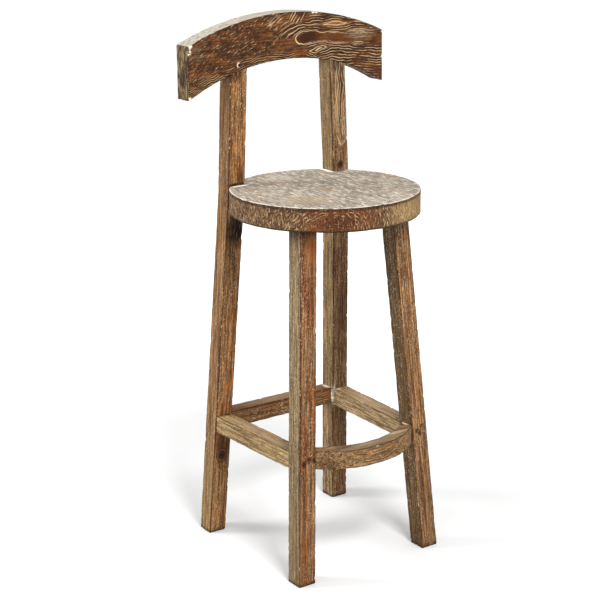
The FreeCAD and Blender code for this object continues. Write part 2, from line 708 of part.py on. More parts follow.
def check():
    """Stop if any object failed, or any sub-part is empty or unsound."""
    for item in doc.Objects:
        for word in ("Invalid", "Error"):
            if word in item.State:
                raise RuntimeError(f"{item.Label} is {item.State}")
    for item in finished:
        shape = item.Shape
        if shape.isNull() or not shape.isValid() or not shape.Solids:
            raise RuntimeError(f"{item.Label} has no sound shape")


def write():
    """Write every sub-part to its own file."""
    os.makedirs("parts", exist_ok=True)
    for item in finished:
        item.Shape.exportStep(f"parts/{item.Label}.step")
        box = item.Shape.BoundBox
        print(
            f"{item.Label:20s} solids {len(item.Shape.Solids)}  volume {item.Shape.Volume / 1000:8.1f} cm3"
            f"  x {box.XMin:7.1f} {box.XMax:7.1f}  y {box.YMin:7.1f} {box.YMax:7.1f}"
            f"  z {box.ZMin:7.1f} {box.ZMax:7.1f}"
        )


build()
check()
write()
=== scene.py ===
import bmesh
import bpy
import math
from mathutils import Matrix, Vector, noise


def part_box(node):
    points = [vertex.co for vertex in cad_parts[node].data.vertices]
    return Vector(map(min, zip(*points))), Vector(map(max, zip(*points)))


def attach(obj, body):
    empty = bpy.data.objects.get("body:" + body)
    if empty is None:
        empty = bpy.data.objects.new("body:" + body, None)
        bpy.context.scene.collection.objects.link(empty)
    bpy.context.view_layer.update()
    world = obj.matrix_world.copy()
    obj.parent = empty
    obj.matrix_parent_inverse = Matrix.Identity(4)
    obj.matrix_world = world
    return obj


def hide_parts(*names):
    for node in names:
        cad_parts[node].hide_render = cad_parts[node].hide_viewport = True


# Rustic bar stool in reclaimed teak: brushed so that the grain stands open, rubbed with white
# lime that stays in the pores and along worn arrises, and waxed matt.  Every timber is rebuilt
# over its plain CAD twin with hand-worn arrises, small chips and uneven faces.
# Metres, +Z up, the front of the stool towards -Y.  Sizes named below are in millimetres.

MM = 0.001

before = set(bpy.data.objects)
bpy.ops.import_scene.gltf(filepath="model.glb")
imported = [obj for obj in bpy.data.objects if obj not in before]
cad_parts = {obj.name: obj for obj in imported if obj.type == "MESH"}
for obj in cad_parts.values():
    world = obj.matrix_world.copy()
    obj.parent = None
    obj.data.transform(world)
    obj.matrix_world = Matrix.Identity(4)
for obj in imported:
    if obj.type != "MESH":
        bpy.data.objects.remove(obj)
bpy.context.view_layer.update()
scene = bpy.context.scene

SIDES = (("left", -1), ("right", 1))
LEG = 39.0  # square section of a leg, level
KINK_Z = 730.0  # where a back leg turns upright
BACK_LEAN = 42.7 / 990.0  # inward lean of a back leg, all the way up
BURIED = 7.0  # how far one timber runs on inside the next
FLUSH = 0.4  # how far a stretcher's outer face lies in from its legs' faces
CREST_TOP_RADIUS = 560.0
CREST_UNDER_RADIUS = 461.0
CREST_UNDER_Z = 988.3
POST_TOP_Z = CREST_UNDER_Z + 2.0
REST_HALF = 122.0  # half the footrest's span, to just inside the legs
REST_FRONT_Y = -139.0  # front of the footrest at that span
REST_REAR_Y = -108.0  # rear of the footrest at the same place
REST_THICK = 32.0  # footrest across at its middle
REST_HIGH = 38.5
SEAT_JOINTS = (-25.0, 85.0)  # X of the two glued joints between the seat's boards
SEAT_GAP = 0.7  # open joint around the posts
NOTCH_FROM = 650.0  # foot and head of the tool that cuts a post's notch in the seat
NOTCH_TO = 800.0
PEG_SUNK = 0.3  # how far a peg's end lies behind its CAD twin's

GRID = 5.5  # spacing of the mesh that carries wear
FINE_GRID = 4.6  # the same on the bowed rails
ARRIS = 2.0  # rounding of an arris by wear
SHARP = 0.9  # an edge that turns by more radians than this is an arris
FACE_TURN = 0.12  # a vertex whose edges turn by less than this lies on a face
TURN_SPAN = 0.22  # turn beyond that at which it counts fully as arris
WAVE = 34.0  # breadth of the slow waves in a face
PLANE_MARK = 9.0  # breadth of the marks a hand plane leaves
RUB = 26.0  # length of a rubbed stretch of arris
NICK = 8.5  # length of a chip
NICK_FROM = 0.34  # noise value at which a chip begins
NICK_SPAN = 0.3  # further rise of the noise to the chip's full depth

SMOOTH = {"interpolation_type": "SMOOTHSTEP"}
CENTRED = {"vector_type": "TEXTURE"}  # a mapping that measures from its location, in units of its scale
WAVE_PERIOD = math.tau / 20  # length of one wave of the wave texture at scale 1
LIME = "#c4b596"  # white lime, yellowed by wax
RING_SPACING = 8.0
PITH = (55, 60, 0)  # the pith lies outside the timber, so the rings cross it as stripes
PITH_TILT = (0.03, 0.05, 0)
KNOT_STRETCH = (1, 1, 1.25)  # a knot is drawn out along the leg
PATCH_CORE = 0.35  # part of a patch's half sizes within which it is full
CREST_DEEP = "#1a0b03"
CREST_LIME = "#bda27a"  # lime on the crest, browned by wax
TONGUE_HALF = 12.6  # half the height of the crest's dark tongue

# Patches: centre and half sizes in millimetres, tint, strength.
CREST_PATCHES = (
    ((176, 108, 1026), (48, 90, 17), "#8a7358", 0.85),  # greyer right end
    ((212, 108, 1040), (30, 90, 14), "#6f4a28", 0.6),
    ((-40, 108, 1056), (50, 90, 18), "#7c4a22", 0.6),  # orange top edge
    ((-10, 108, 1020), (35, 90, 18), "#754320", 0.55),  # warm middle
    ((-120, 108, 1012), (60, 90, 22), "#2a1508", 0.65),  # dark left
    ((-215, 108, 1015), (30, 90, 22), "#64513c", 0.5),  # greyer left end
    ((190, 108, 955), (55, 90, 20), "#744a25", 0.6),  # warm lower right
)
SEAT_PATCHES = (
    ((-125, 102, 750), (26, 7, 10), "#e2dccf", 0.85),  # lime before the left post
    ((103, 125, 750), (9, 30, 10), "#e8e2d6", 0.9),  # lime beside the right post
    ((122, 104, 750), (22, 5, 10), "#2a1c10", 0.8),  # dark joint before it
    ((-24, 113, 750), (50, 45, 20), "#a9a194", 0.3),  # paler between the posts
)
# Chips along the crest's edges, rubbed pale: centre, reach.
CREST_RUBS = (
    ((-232, 108.5, 1019), 8), ((-231, 108.5, 929), 6), ((-227, 108.5, 1029), 6), ((232, 108.5, 975), 4),
    ((231, 108.5, 1027), 4), ((58, 109, 1077), 5), ((66, 109, 1076), 4),
)


def extent(node):
    """A node's lowest and highest corners in millimetres."""
    low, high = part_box(node)
    return Vector(low) / MM, Vector(high) / MM


# -------- timber

def squared_bar(low, high, spacing=GRID):
    """Bar between two corners, its six faces cut into a grid of about the spacing."""
    bm = bmesh.new()
    bmesh.ops.create_cube(bm, size=1.0)
    size = Vector(high) - Vector(low)
    for axis in range(3):
        along = [e for e in bm.edges if abs((e.verts[1].co - e.verts[0].co)[axis]) > 0.5]
        cuts = max(2, round(size[axis] / spacing))
        bmesh.ops.subdivide_edges(bm, edges=along, cuts=cuts, use_grid_fill=True)
    bmesh.ops.scale(bm, vec=size, verts=bm.verts)
    bmesh.ops.translate(bm, vec=(Vector(low) + Vector(high)) / 2, verts=bm.verts)
    return bm


def round_arrises(bm, offset=ARRIS):
    """Round every arris."""
    bm.normal_update()
    edges = [e for e in bm.edges if e.is_manifold and e.calc_face_angle() > SHARP]
    bmesh.ops.bevel(
        bm, geom=edges, affect="EDGES", offset=offset, offset_type="OFFSET", segments=3,
        profile=0.5, material=-1, clamp_overlap=True,
    )


def wear(bm, seed, hollow=0.45, rub=1.3, chip=2.2):
    """Press the surface in: gentle waves on the faces, rubbed arrises and a few chips.

    hollow, rub and chip are their greatest depths.  The arris attribute says how near a point
    is to an arris, for the wax and lime that gather there.
    """
    bm.normal_update()
    arris = bm.verts.layers.float.new("arris")
    turn = {}
    for v in bm.verts:
        sharpest = max((e.calc_face_angle(0.0) for e in v.link_edges), default=0.0)
        turn[v] = min(1.0, max(0.0, (sharpest - FACE_TURN) / TURN_SPAN))
    shift = Vector((seed * 3.1, seed * 1.7, seed * 5.3))
    moves = {}
    for v in bm.verts:
        wave = noise.noise(v.co / WAVE + shift) * 0.5 + 0.5
        plane_mark = noise.noise(v.co / PLANE_MARK - shift) * 0.5 + 0.5
        depth = hollow * (0.7 * wave + 0.3 * plane_mark)
        if turn[v] > 0.0:
            worn = max(0.0, noise.noise(v.co / RUB + shift * 2.0))
            nick = max(0.0, noise.noise(v.co / NICK + shift * 3.0) - NICK_FROM) / NICK_SPAN
            depth += turn[v] * (rub * worn + chip * min(1.0, nick))
        moves[v] = v.normal * -depth
        near = max((turn[e.other_vert(v)] for e in v.link_edges), default=0.0)
        v[arris] = max(turn[v], 0.15 * near)
    for v, move in moves.items():
        v.co += move


def add_object(name, bm):
    """Put finished geometry into the scene as an object."""
    mesh = bpy.data.meshes.new(name)
    bm.to_mesh(mesh)
    bm.free()
    made = bpy.data.objects.new(name, mesh)
    scene.collection.objects.link(made)
    return made


def make_piece(bm, name, material, nodes):
    """Turn finished millimetre geometry into a piece that rides with the stool."""
    bmesh.ops.scale(bm, vec=(MM, MM, MM), verts=bm.verts)
    bmesh.ops.recalc_face_normals(bm, faces=bm.faces)
    for face in bm.faces:
        face.smooth = True
    piece = add_object(name, bm)
    piece.data.materials.append(material)
    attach(piece, "root")
    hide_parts(*nodes)


def lean(bm, verts, x_per_z, y_per_z):
    """Shear vertices sideways in proportion to their height above the floor."""
    shear = Matrix.Identity(4)
    shear[0][2], shear[1][2] = x_per_z, y_per_z
    bmesh.ops.transform(bm, matrix=shear, verts=verts)


def leg_blank(node, side, bottom, top, grow=0.0):
    """A leg from bottom to top, square in level section, leaning as its CAD twin does."""
    low, high = extent(node)
    back = node.startswith("back")
    foot_x = (high.x if side > 0 else low.x) - side * LEG / 2
    foot_y = high.y - LEG / 2 if back else low.y + LEG / 2
    half = LEG / 2 + grow
    bm = squared_bar((foot_x - half, foot_y - half, bottom), (foot_x + half, foot_y + half, top))
    if back:
        post_y = low.y + LEG / 2
        bmesh.ops.bisect_plane(
            bm, geom=bm.verts[:] + bm.edges[:] + bm.faces[:], plane_co=(0, 0, KINK_Z), plane_no=(0, 0, 1)
        )
        below = [v for v in bm.verts if v.co.z <= KINK_Z]
        above = [v for v in bm.verts if v.co.z > KINK_Z]
        lean(bm, below, 0.0, (post_y - foot_y) / KINK_Z)
        bmesh.ops.translate(bm, vec=(0, post_y - foot_y, 0), verts=above)
        lean(bm, bm.verts[:], -side * BACK_LEAN, 0.0)
    else:
        under = seat_under()
        top_x = (low.x if side > 0 else high.x) + side * LEG / 2
        top_y = high.y - LEG / 2
        lean(bm, bm.verts[:], (top_x - foot_x) / under, (top_y - foot_y) / under)
    return bm


def seat_under():
    """Height of the seat's underside."""
    return extent("seat_board_middle")[0].z


def make_legs(woods):
    """Four square legs; the back pair goes on up as the posts of the back."""
    for row, top, seed in (("front", seat_under() + BURIED, 5), ("back", POST_TOP_Z, 4)):
        for word, side in SIDES:
            node = f"{row}_leg_{word}"
            bm = leg_blank(node, side, 0.0, top)
            round_arrises(bm)
            wear(bm, seed + side * 0.7, hollow=0.3, rub=0.8, chip=2.0)
            make_piece(bm, f"{node}_timber", woods[node], [node])


def arc_drop(x, radius):
    """How far an arc of this radius has fallen at x from its middle."""
    return radius - math.sqrt(radius * radius - x * x)


def make_crest(wood):
    """Arched rail, sawn from a plank: both edges are arcs and both ends are square."""
    low, high = extent("crest_rail")
    # A bar one millimetre high, whose height is then stretched from the lower arc to the upper one.
    bm = squared_bar((low.x, low.y, 0.0), (high.x, high.y, 1.0), FINE_GRID)
    across = [e for e in bm.edges if abs((e.verts[1].co - e.verts[0].co).z) > 1e-6]
    bmesh.ops.subdivide_edges(bm, edges=across, cuts=5, use_grid_fill=True)
    for v in bm.verts:
        top = high.z - arc_drop(v.co.x, CREST_TOP_RADIUS)
        under = CREST_UNDER_Z - arc_drop(v.co.x, CREST_UNDER_RADIUS)
        v.co.z = under + (top - under) * v.co.z
    round_arrises(bm, 1.6)
    wear(bm, 4.2, hollow=0.5, rub=1.2, chip=3.0)
    make_piece(bm, "crest_rail_timber", wood, ["crest_rail"])


def make_footrest(wood):
    """Bowed front rail: its front and rear are arcs in plan."""
    low, high = extent("footrest_front")
    bow_front = REST_FRONT_Y - low.y
    bow_rear = REST_REAR_Y - (low.y + REST_THICK)
    radius_front = (REST_HALF ** 2 + bow_front ** 2) / (2 * bow_front)
    radius_rear = (REST_HALF ** 2 + bow_rear ** 2) / (2 * bow_rear)
    # A bar one millimetre deep, whose depth is then stretched from the front arc to the rear one.
    bm = squared_bar((-REST_HALF, 0.0, high.z - REST_HIGH), (REST_HALF, 1.0, high.z), FINE_GRID)
    across = [e for e in bm.edges if abs((e.verts[1].co - e.verts[0].co).y) > 1e-6]
    bmesh.ops.subdivide_edges(bm, edges=across, cuts=1, use_grid_fill=True)
    for v in bm.verts:
        front = low.y + arc_drop(v.co.x, radius_front)
        rear = low.y + REST_THICK + arc_drop(v.co.x, radius_rear)
        v.co.y = front + (rear - front) * v.co.y
    round_arrises(bm)
    wear(bm, 7.7, rub=1.6)
    make_piece(bm, "footrest_front_timber", wood, ["footrest_front"])


def leg_centre(node, side, z):
    """Centre of a leg at height z, from its CAD box."""
    low, high = extent(node)
    foot_x = (high.x if side > 0 else low.x) - side * LEG / 2
    if node.startswith("back"):
        foot_y, post_y = high.y - LEG / 2, low.y + LEG / 2
        y = foot_y + (post_y - foot_y) * min(z, KINK_Z) / KINK_Z
        return Vector((foot_x - side * BACK_LEAN * z, y, z))
    top_x = (low.x if side > 0 else high.x) + side * LEG / 2
    foot_y, top_y = low.y + LEG / 2, high.y - LEG / 2
    part = z / seat_under()
    return Vector((foot_x + (top_x - foot_x) * part, foot_y + (top_y - foot_y) * part, z))


def make_side_stretcher(word, side, wide, tall, wood):
    """Side rail from a front leg to a back leg, its outer face flush with theirs at the top."""
    node = f"stretcher_{word}"
    top = extent(node)[1].z
    front = leg_centre(f"front_leg_{word}", side, top)
    back = leg_centre(f"back_leg_{word}", side, top)
    y_low = front.y + LEG / 2 - BURIED
    y_high = back.y - LEG / 2 + BURIED
    outer = front.x + side * (LEG / 2 - FLUSH)
    inner = outer - side * wide
    bm = squared_bar((min(outer, inner), y_low, top - tall), (max(outer, inner), y_high, top))
    swing = (back.x - front.x) / (back.y - front.y)
    for v in bm.verts:
        v.co.x += swing * (v.co.y - front.y)
    round_arrises(bm)
    wear(bm, 9.3 + side, rub=1.6)
    make_piece(bm, f"{node}_timber", wood, [node])


def make_back_stretcher(wide, tall, wood):
    """Rear rail between the two back legs, its rear face flush with theirs at the top."""
    top = extent("stretcher_back")[1].z
    left, right = (leg_centre(f"back_leg_{word}", side, top) for word, side in SIDES)
    x_low = left.x + LEG / 2 - BURIED
    x_high = right.x - LEG / 2 + BURIED
    rear = left.y + LEG / 2 - FLUSH
    bm = squared_bar((x_low, rear - wide, top - tall), (x_high, rear, top))
    round_arrises(bm)
    wear(bm, 12.4, rub=1.6)
    make_piece(bm, "stretcher_back_timber", wood, ["stretcher_back"])


# -------- seat

def seat_slab(low, high):
    """Round slab turned from half its section, with its two rims eased."""
    radius = (high.y - low.y) / 2
    bm = bmesh.new()
    corners = ((0, 0, low.z), (radius, 0, low.z), (radius, 0, high.z), (0, 0, high.z))
    half = [bm.verts.new(corner) for corner in corners]
    edges = [bm.edges.new(pair) for pair in zip(half, half[1:])]
    bmesh.ops.subdivide_edges(bm, edges=[edges[0], edges[2]], cuts=34)
    bmesh.ops.subdivide_edges(bm, edges=[edges[1]], cuts=9)
    bmesh.ops.spin(
        bm, geom=bm.verts[:] + bm.edges[:], cent=(0, 0, 0), axis=(0, 0, 1), angle=math.tau,
        steps=240, use_merge=True,
    )
    bmesh.ops.remove_doubles(bm, verts=bm.verts, dist=0.01)
    bmesh.ops.translate(bm, vec=(0, (high.y + low.y) / 2, 0), verts=bm.verts)
    bmesh.ops.recalc_face_normals(bm, faces=bm.faces)
    round_arrises(bm, 2.0)
    return bm


def notched(bm):
    """The slab with a notch cut for each post."""
    slab = add_object("slab", bm)
    spare = [slab]
    for word, side in SIDES:
        tool = leg_blank(f"back_leg_{word}", side, NOTCH_FROM, NOTCH_TO, SEAT_GAP)
        notch = add_object("notch", tool)
        cut = slab.modifiers.new("notch", "BOOLEAN")
        cut.operation = "DIFFERENCE"
        cut.solver = "EXACT"
        cut.object = notch
        spare.append(notch)
    depsgraph = bpy.context.evaluated_depsgraph_get()
    seat = bmesh.new()
    seat.from_mesh(bpy.data.meshes.new_from_object(slab.evaluated_get(depsgraph)))
    for done in spare:
        bpy.data.objects.remove(done)
    return seat


def board_between(seat, left, right):
    """Copy of the seat from one joint to the next; None stands for the seat's own edge."""
    board = seat.copy()
    for at, outward in ((left, -1), (right, 1)):
        if at is None:
            continue
        cut = bmesh.ops.bisect_plane(
            board, geom=board.verts[:] + board.edges[:] + board.faces[:], plane_co=(at, 0, 0),
            plane_no=(outward, 0, 0), clear_outer=True,
        )
        rim = [e for e in cut["geom_cut"] if isinstance(e, bmesh.types.BMEdge)]
        bmesh.ops.edgeloop_fill(board, edges=rim)
    return board


def make_seat(wood):
    """Seat glued up from three boards and let in round the two posts."""
    slab = seat_slab(*extent("seat_board_middle"))
    wear(slab, 2.9, hollow=0.5, rub=1.0, chip=1.6)
    seat = notched(slab)
    joints = (None, *SEAT_JOINTS, None)
    for word, left, right in zip(("left", "middle", "right"), joints, joints[1:]):
        node = f"seat_board_{word}"
        make_piece(board_between(seat, left, right), f"{node}_timber", wood, [node])
    seat.free()


# -------- pegs

def make_peg(node, axis, outward, wood):
    """Whittled peg: a many-sided pin that tapers inwards, its outer end rounded."""
    low, high = extent(node)
    middle = (low + high) / 2
    size = high - low
    across = [i for i in range(3) if i != axis]
    radius = size[across[0]] / 2
    bm = bmesh.new()
    bmesh.ops.create_cone(
        bm, cap_ends=True, segments=18, radius1=radius * 0.94, radius2=radius, depth=size[axis]
    )
    end = [e for e in bm.edges if min(e.verts[0].co.z, e.verts[1].co.z) > 0.0]
    bmesh.ops.bevel(
        bm, geom=end, affect="EDGES", offset=0.8, offset_type="OFFSET", segments=3, profile=0.5, material=-1
    )
    direction = Vector([outward if i == axis else 0.0 for i in range(3)])
    turn = Vector((0, 0, 1)).rotation_difference(direction).to_matrix().to_4x4()
    bmesh.ops.transform(bm, matrix=Matrix.Translation(middle - direction * PEG_SUNK) @ turn, verts=bm.verts)
    make_piece(bm, f"{node}_pin", wood, [node])


# -------- materials

def linear(hex_code):
    """sRGB hex to the linear colour that Blender mixes."""
    parts = [int(hex_code[i:i + 2], 16) / 255 for i in (1, 3, 5)]
    return tuple(c / 12.92 if c <= 0.04045 else ((c + 0.055) / 1.055) ** 2.4 for c in parts) + (1.0,)


def add(tree, kind, settings=(), inputs=(), out=0):
    """Add a shader node with its settings and links.

    Settings that are one word are the node's operation.  Inputs go by name or in order; each is a
    value or another node's output.
    """
    made = tree.nodes.new("ShaderNode" + kind)
    if isinstance(settings, str):
        settings = {"operation": settings}
    if isinstance(inputs, tuple):
        inputs = dict(enumerate(inputs))
    for key, value in dict(settings).items():
        setattr(made, key, value)
    for key, value in inputs.items():
        if isinstance(value, bpy.types.NodeSocket):
            tree.links.new(value, made.inputs[key])
        else:
            made.inputs[key].default_value = value
    return made.outputs[out] if made.outputs else made


def grain_of(tree, start, along):
    """Coordinates of one timber in metres, with Z along its grain, measured from start."""
    turn = Vector((0, 0, 1)).rotation_difference(Vector(along)).to_euler()
    place = add(tree, "TexCoord", out="Object")
    return add(tree, "Mapping", CENTRED, {"Vector": place, "Location": Vector(start) * MM, "Rotation": turn})


def clouds(tree, grain, size, run, low, high, detail=3.0, shift=0.0):
    """Mask of patches, size millimetres across the grain and run times as long along it."""
    cell = 1.0 / (size * MM)
    place = (shift, shift * 1.7, shift * 0.6)
    spread = {"Vector": grain, "Location": place, "Scale": (cell, cell, cell / run)}
    spread = add(tree, "Mapping", inputs=spread)
    cloud = {"Vector": spread, "Scale": 1.0, "Detail": detail, "Roughness": 0.55}
    cloud = add(tree, "TexNoise", inputs=cloud)
    return add(tree, "MapRange", SMOOTH, {"Value": cloud, "From Min": low, "From Max": high})


def growth_rings(tree, grain):
    """Mask of the dark late wood: rings about a pith line that leans through the timber."""
    centred = add(
        tree, "Mapping", CENTRED,
        {"Vector": grain, "Location": Vector(PITH) * MM, "Rotation": PITH_TILT, "Scale": (1, 1, 7)},
    )
    wave = add(
        tree, "TexWave", {"wave_type": "RINGS", "rings_direction": "Z", "wave_profile": "SAW"},
        {"Vector": centred, "Scale": WAVE_PERIOD / (RING_SPACING * MM), "Distortion": 2.0, "Detail": 2.0,
         "Detail Scale": 0.5, "Detail Roughness": 0.6},
    )
    return add(tree, "MapRange", SMOOTH, {"Value": wave, "From Min": 0.45, "From Max": 0.98})


def facing(tree, direction, low, high):
    """Mask of the faces that look in a direction; low and high are cosines where it begins and is full."""
    normal = add(tree, "NewGeometry", out="Normal")
    cosine = add(tree, "VectorMath", "DOT_PRODUCT", (normal, direction), out="Value")
    return add(tree, "MapRange", SMOOTH, {"Value": cosine, "From Min": low, "From Max": high})


def where(tree, *parts):
    """Mask that is strong where all its parts are.

    A part is a mask, a share, or a length in metres with the millimetres where it begins and is full.
    """
    mask = None
    for part in parts:
        if isinstance(part, tuple):
            value, start, end = part
            part = add(
                tree, "MapRange", SMOOTH, {"Value": value, "From Min": start * MM, "From Max": end * MM}
            )
        if mask is None:
            mask = part
        else:
            mask = add(tree, "Math", {"operation": "MULTIPLY", "use_clamp": True}, (mask, part))
    return mask


def spot(tree, centre, inner, outer, stretch=(1, 1, 1)):
    """Mask that is full within inner millimetres of a point of the stool and gone past outer.

    stretch multiplies both distances along X, Y and Z.
    """
    place = add(tree, "TexCoord", out="Object")
    centred = add(
        tree, "Mapping", CENTRED, {"Vector": place, "Location": Vector(centre) * MM, "Scale": stretch}
    )
    away = add(tree, "VectorMath", "LENGTH", (centred,), out="Value")
    return where(tree, (away, outer, inner))


def stain(tree, ground, colour, mask, strength=1.0):
    """Lay a colour over the ground where the mask is strong; either may be a hex code."""
    ground, colour = (linear(c) if isinstance(c, str) else c for c in (ground, colour))
    share = where(tree, mask, strength)
    # The mix node keeps its two colours at inputs 6 and 7 and its mixed colour at output 2.
    return add(tree, "Mix", {"data_type": "RGBA"}, {0: share, 6: ground, 7: colour}, out=2)


def patched(tree, colour, patches, uneven=1.0):
    """Soft-edged patches over a colour: centre and half sizes in millimetres, tint, strength."""
    for centre, half, tint, strength in patches:
        here = where(tree, spot(tree, centre, PATCH_CORE, 1.0, half), uneven)
        colour = stain(tree, colour, tint, here, strength)
    return colour


def wandering(tree, waves, detail=2.0):
    """The stool's space in metres, made to sway: each wave has a noise scale and a reach in metres."""
    place = add(tree, "TexCoord", out="Object")
    space = place
    for scale, reach in waves:
        sway = {"Vector": place, "Scale": scale, "Detail": detail}
        sway = add(tree, "TexNoise", inputs=sway, out="Color")
        sway = add(tree, "VectorMath", "SUBTRACT", (sway, (0.5, 0.5, 0.5)))
        space = add(tree, "VectorMath", "MULTIPLY_ADD", (sway, (reach, 0, reach), space))
    return space


def waxed_surface(tree, colour, grooves, rough=0.68, relief=0.5):
    """Matt waxed finish: pores and brushed grain sunk, roughness a little uneven."""
    bump = add(tree, "Bump", inputs={"Strength": relief, "Distance": 0.5 * MM, "Height": grooves})
    roughness = {"Value": grooves, "To Min": rough - 0.08, "To Max": rough + 0.12}
    roughness = add(tree, "MapRange", inputs=roughness)
    shader = add(
        tree, "BsdfPrincipled",
        inputs={"Base Color": colour, "Roughness": roughness, "Normal": bump, "IOR": 1.5,
                "Specular IOR Level": 0.12},
    )
    add(tree, "OutputMaterial", inputs={"Surface": shader})


def new_material(name):
    """Empty material, and its node tree."""
    material = bpy.data.materials.new(name)
    material.use_nodes = True
    material.node_tree.nodes.clear()
    return material, material.node_tree


def limed_teak(part, start, along, heart, deep, faded, shift=0.0, grey_side=(-1, 0, 0), greyed=0.6,
               limed=0.3, loops=(), marks=(), shades=()):
    """Old teak, brushed and limed: dark striped grain, pale lime in its pores and on its arrises.

    heart is the warm middle tone, deep the late wood and old stains, faded the khaki tone laid on the
    faces that look along grey_side.  loops are cathedral figures: centre, half length.  shades are patches
    of wax, dirt, wear, lime or painted shade.  marks are round knots and filled holes, laid last: centre,
    radius.
    """
    material, tree = new_material(f"limed teak, {part}")
    grain = grain_of(tree, start, along)
    colour = teak_ground(tree, grain, heart, deep, faded, shift, grey_side, greyed)
    colour, grooves = brushed_and_limed(tree, grain, colour, deep, LIME, shift, limed)
    for centre, half in loops:
        colour = cathedral(tree, grain, colour, centre, half, deep, shift)
    # The grain runs on through the shades, which keeps them from looking sprayed on.
    streaky = clouds(tree, grain, 2.6, 9, 0.30, 0.52, 3.0, shift + 21)
    colour = patched(tree, colour, shades, streaky)
    for centre, radius in marks:
        colour = knot(tree, colour, centre, radius, heart)
    colour = worn_arrises(tree, grain, colour, deep, LIME, shift)
    waxed_surface(tree, colour, grooves)
    return material


def teak_ground(tree, grain, heart, deep, faded, shift, grey_side, greyed):
    """Ground colour: slow changes of tone, a khaki tint on the faces that look along grey_side, and growth
    rings.
    """
    tone = clouds(tree, grain, 18, 12, 0.38, 0.62, 2.0, shift)
    late = growth_rings(tree, grain)
    colour = stain(tree, heart, faded, tone, 0.45)
    colour = stain(tree, colour, faded, facing(tree, grey_side, 0.5, 0.9), greyed)
    return stain(tree, colour, deep, late, 0.28)


def cathedral(tree, grain, colour, centre, half, deep, shift):
    """Upright loops of a flat-sawn face: pale spring wood lines about a darker heart."""
    space = wandering(tree, [(24.0, 0.02)])
    loop = tongue_field(tree, space, centre, half, 0.3, math.pi / 2)
    broken = where(tree, (loop, 18.0, 13.0), clouds(tree, grain, 10, 3, 0.35, 0.50, 2.0, shift + 19))
    colour = stain(tree, colour, deep, where(tree, (loop, 7.0, 3.0)), 0.5)
    return stain(tree, colour, LIME, contour(tree, loop, 5.5, 0.4, 1.2, broken), 0.42)


def knot(tree, colour, centre, radius, heart):
    """Round knot or filled hole: dark, with faint rings of the warm wood and a black eye."""
    place = add(tree, "TexCoord", out="Object")
    centred = add(
        tree, "Mapping", CENTRED, {"Vector": place, "Location": Vector(centre) * MM, "Scale": KNOT_STRETCH}
    )
    ripple = add(
        tree, "TexWave", {"wave_type": "RINGS", "rings_direction": "SPHERICAL"},
        {"Vector": centred, "Scale": WAVE_PERIOD / (radius * 0.45 * MM), "Distortion": 1.2, "Detail": 2.0},
    )
    around = spot(tree, centre, radius * 0.7, radius * 1.1, KNOT_STRETCH)
    colour = stain(tree, colour, "#1a0d05", around, 0.95)
    colour = stain(tree, colour, heart, where(tree, ripple, around), 0.3)
    return stain(tree, colour, "#120a05", spot(tree, centre, radius * 0.2, radius * 0.5), 0.95)


def lime_ring(tree, colour, centre, radius, lime):
    """Curl of lime caught in the joint around a peg, with a dark eye."""
    place = add(tree, "TexCoord", out="Object")
    away = add(tree, "VectorMath", "DISTANCE", (place, Vector(centre) * MM), out="Value")
    off = add(tree, "Math", "SUBTRACT", (away, radius * MM))
    off = add(tree, "Math", "ABSOLUTE", (off,))
    left_half = spot(tree, Vector(centre) + Vector((-radius, 0, radius * 0.3)), radius * 0.8, radius * 1.7)
    colour = stain(tree, colour, "#1c0f06", spot(tree, centre, radius * 0.3, radius), 0.8)
    return stain(tree, colour, lime, where(tree, (off, 1.6, 0.7), left_half), 0.9)


def brushed_and_limed(tree, grain, colour, deep, lime, shift, limed):
    """Brushed fibres, dark and bright, with lime in the pores.

    The real pores are 0.3 mm wide; they are drawn 2 mm wide so that they show.
    """
    fibre = clouds(tree, grain, 2.3, 16, 0.42, 0.60, 4.0, shift + 3)
    streak = clouds(tree, grain, 4.0, 40, 0.50, 0.60, 3.0, shift + 5)
    fleck = clouds(tree, grain, 2.2, 2.6, 0.54, 0.62, 2.0, shift + 7)
    pale_fibre = clouds(tree, grain, 2.4, 14, 0.50, 0.62, 3.0, shift + 8)
    long_streak = clouds(tree, grain, 3.2, 70, 0.54, 0.60, 3.0, shift + 15)
    colour = stain(tree, colour, lime, pale_fibre, limed * 0.65)
    for mask, strength in ((fibre, 0.58), (streak, 0.55), (fleck, 0.55), (long_streak, 0.55)):
        colour = stain(tree, colour, deep, mask, strength)
    pores = clouds(tree, grain, 2.0, 2.2, 0.59, 0.65, 3.0, shift + 9)
    filled = clouds(tree, grain, 26, 4, 0.36, 0.58, 2.0, shift + 11)
    colour = stain(tree, colour, lime, where(tree, pores, filled), min(1.0, limed * 1.5))
    grooves = add(tree, "Math", "SUBTRACT", (1.0, fibre))
    return colour, grooves


def worn_arrises(tree, grain, colour, deep, lime, shift):
    """Arrises that hands and feet have rubbed: wax and grime, broken by small pale rubbed places."""
    edge = add(tree, "Attribute", {"attribute_name": "arris"}, out="Fac")
    edge = add(tree, "MapRange", inputs={"Value": edge, "From Min": 0.45, "From Max": 0.95})
    grimed = where(tree, edge, clouds(tree, grain, 9, 12, 0.30, 0.46, 3.0, shift + 17))
    rubbed = where(tree, edge, clouds(tree, grain, 3.5, 3, 0.61, 0.68, 3.0, shift + 13))
    colour = stain(tree, colour, deep, grimed, 0.85)
    return stain(tree, colour, lime, rubbed, 0.6)


def contour(tree, field, spacing, phase, width, uneven):
    """Mask of thin lines wherever the field, in metres, passes a multiple of the spacing in millimetres."""
    steps = add(tree, "Math", "MULTIPLY_ADD", (field, 1.0 / (spacing * MM), phase))
    across = add(tree, "Math", "PINGPONG", (steps, 0.5))
    line = add(
        tree, "MapRange", SMOOTH,
        {"Value": across, "From Min": width / spacing, "From Max": 0.3 * width / spacing},
    )
    return where(tree, line, uneven)


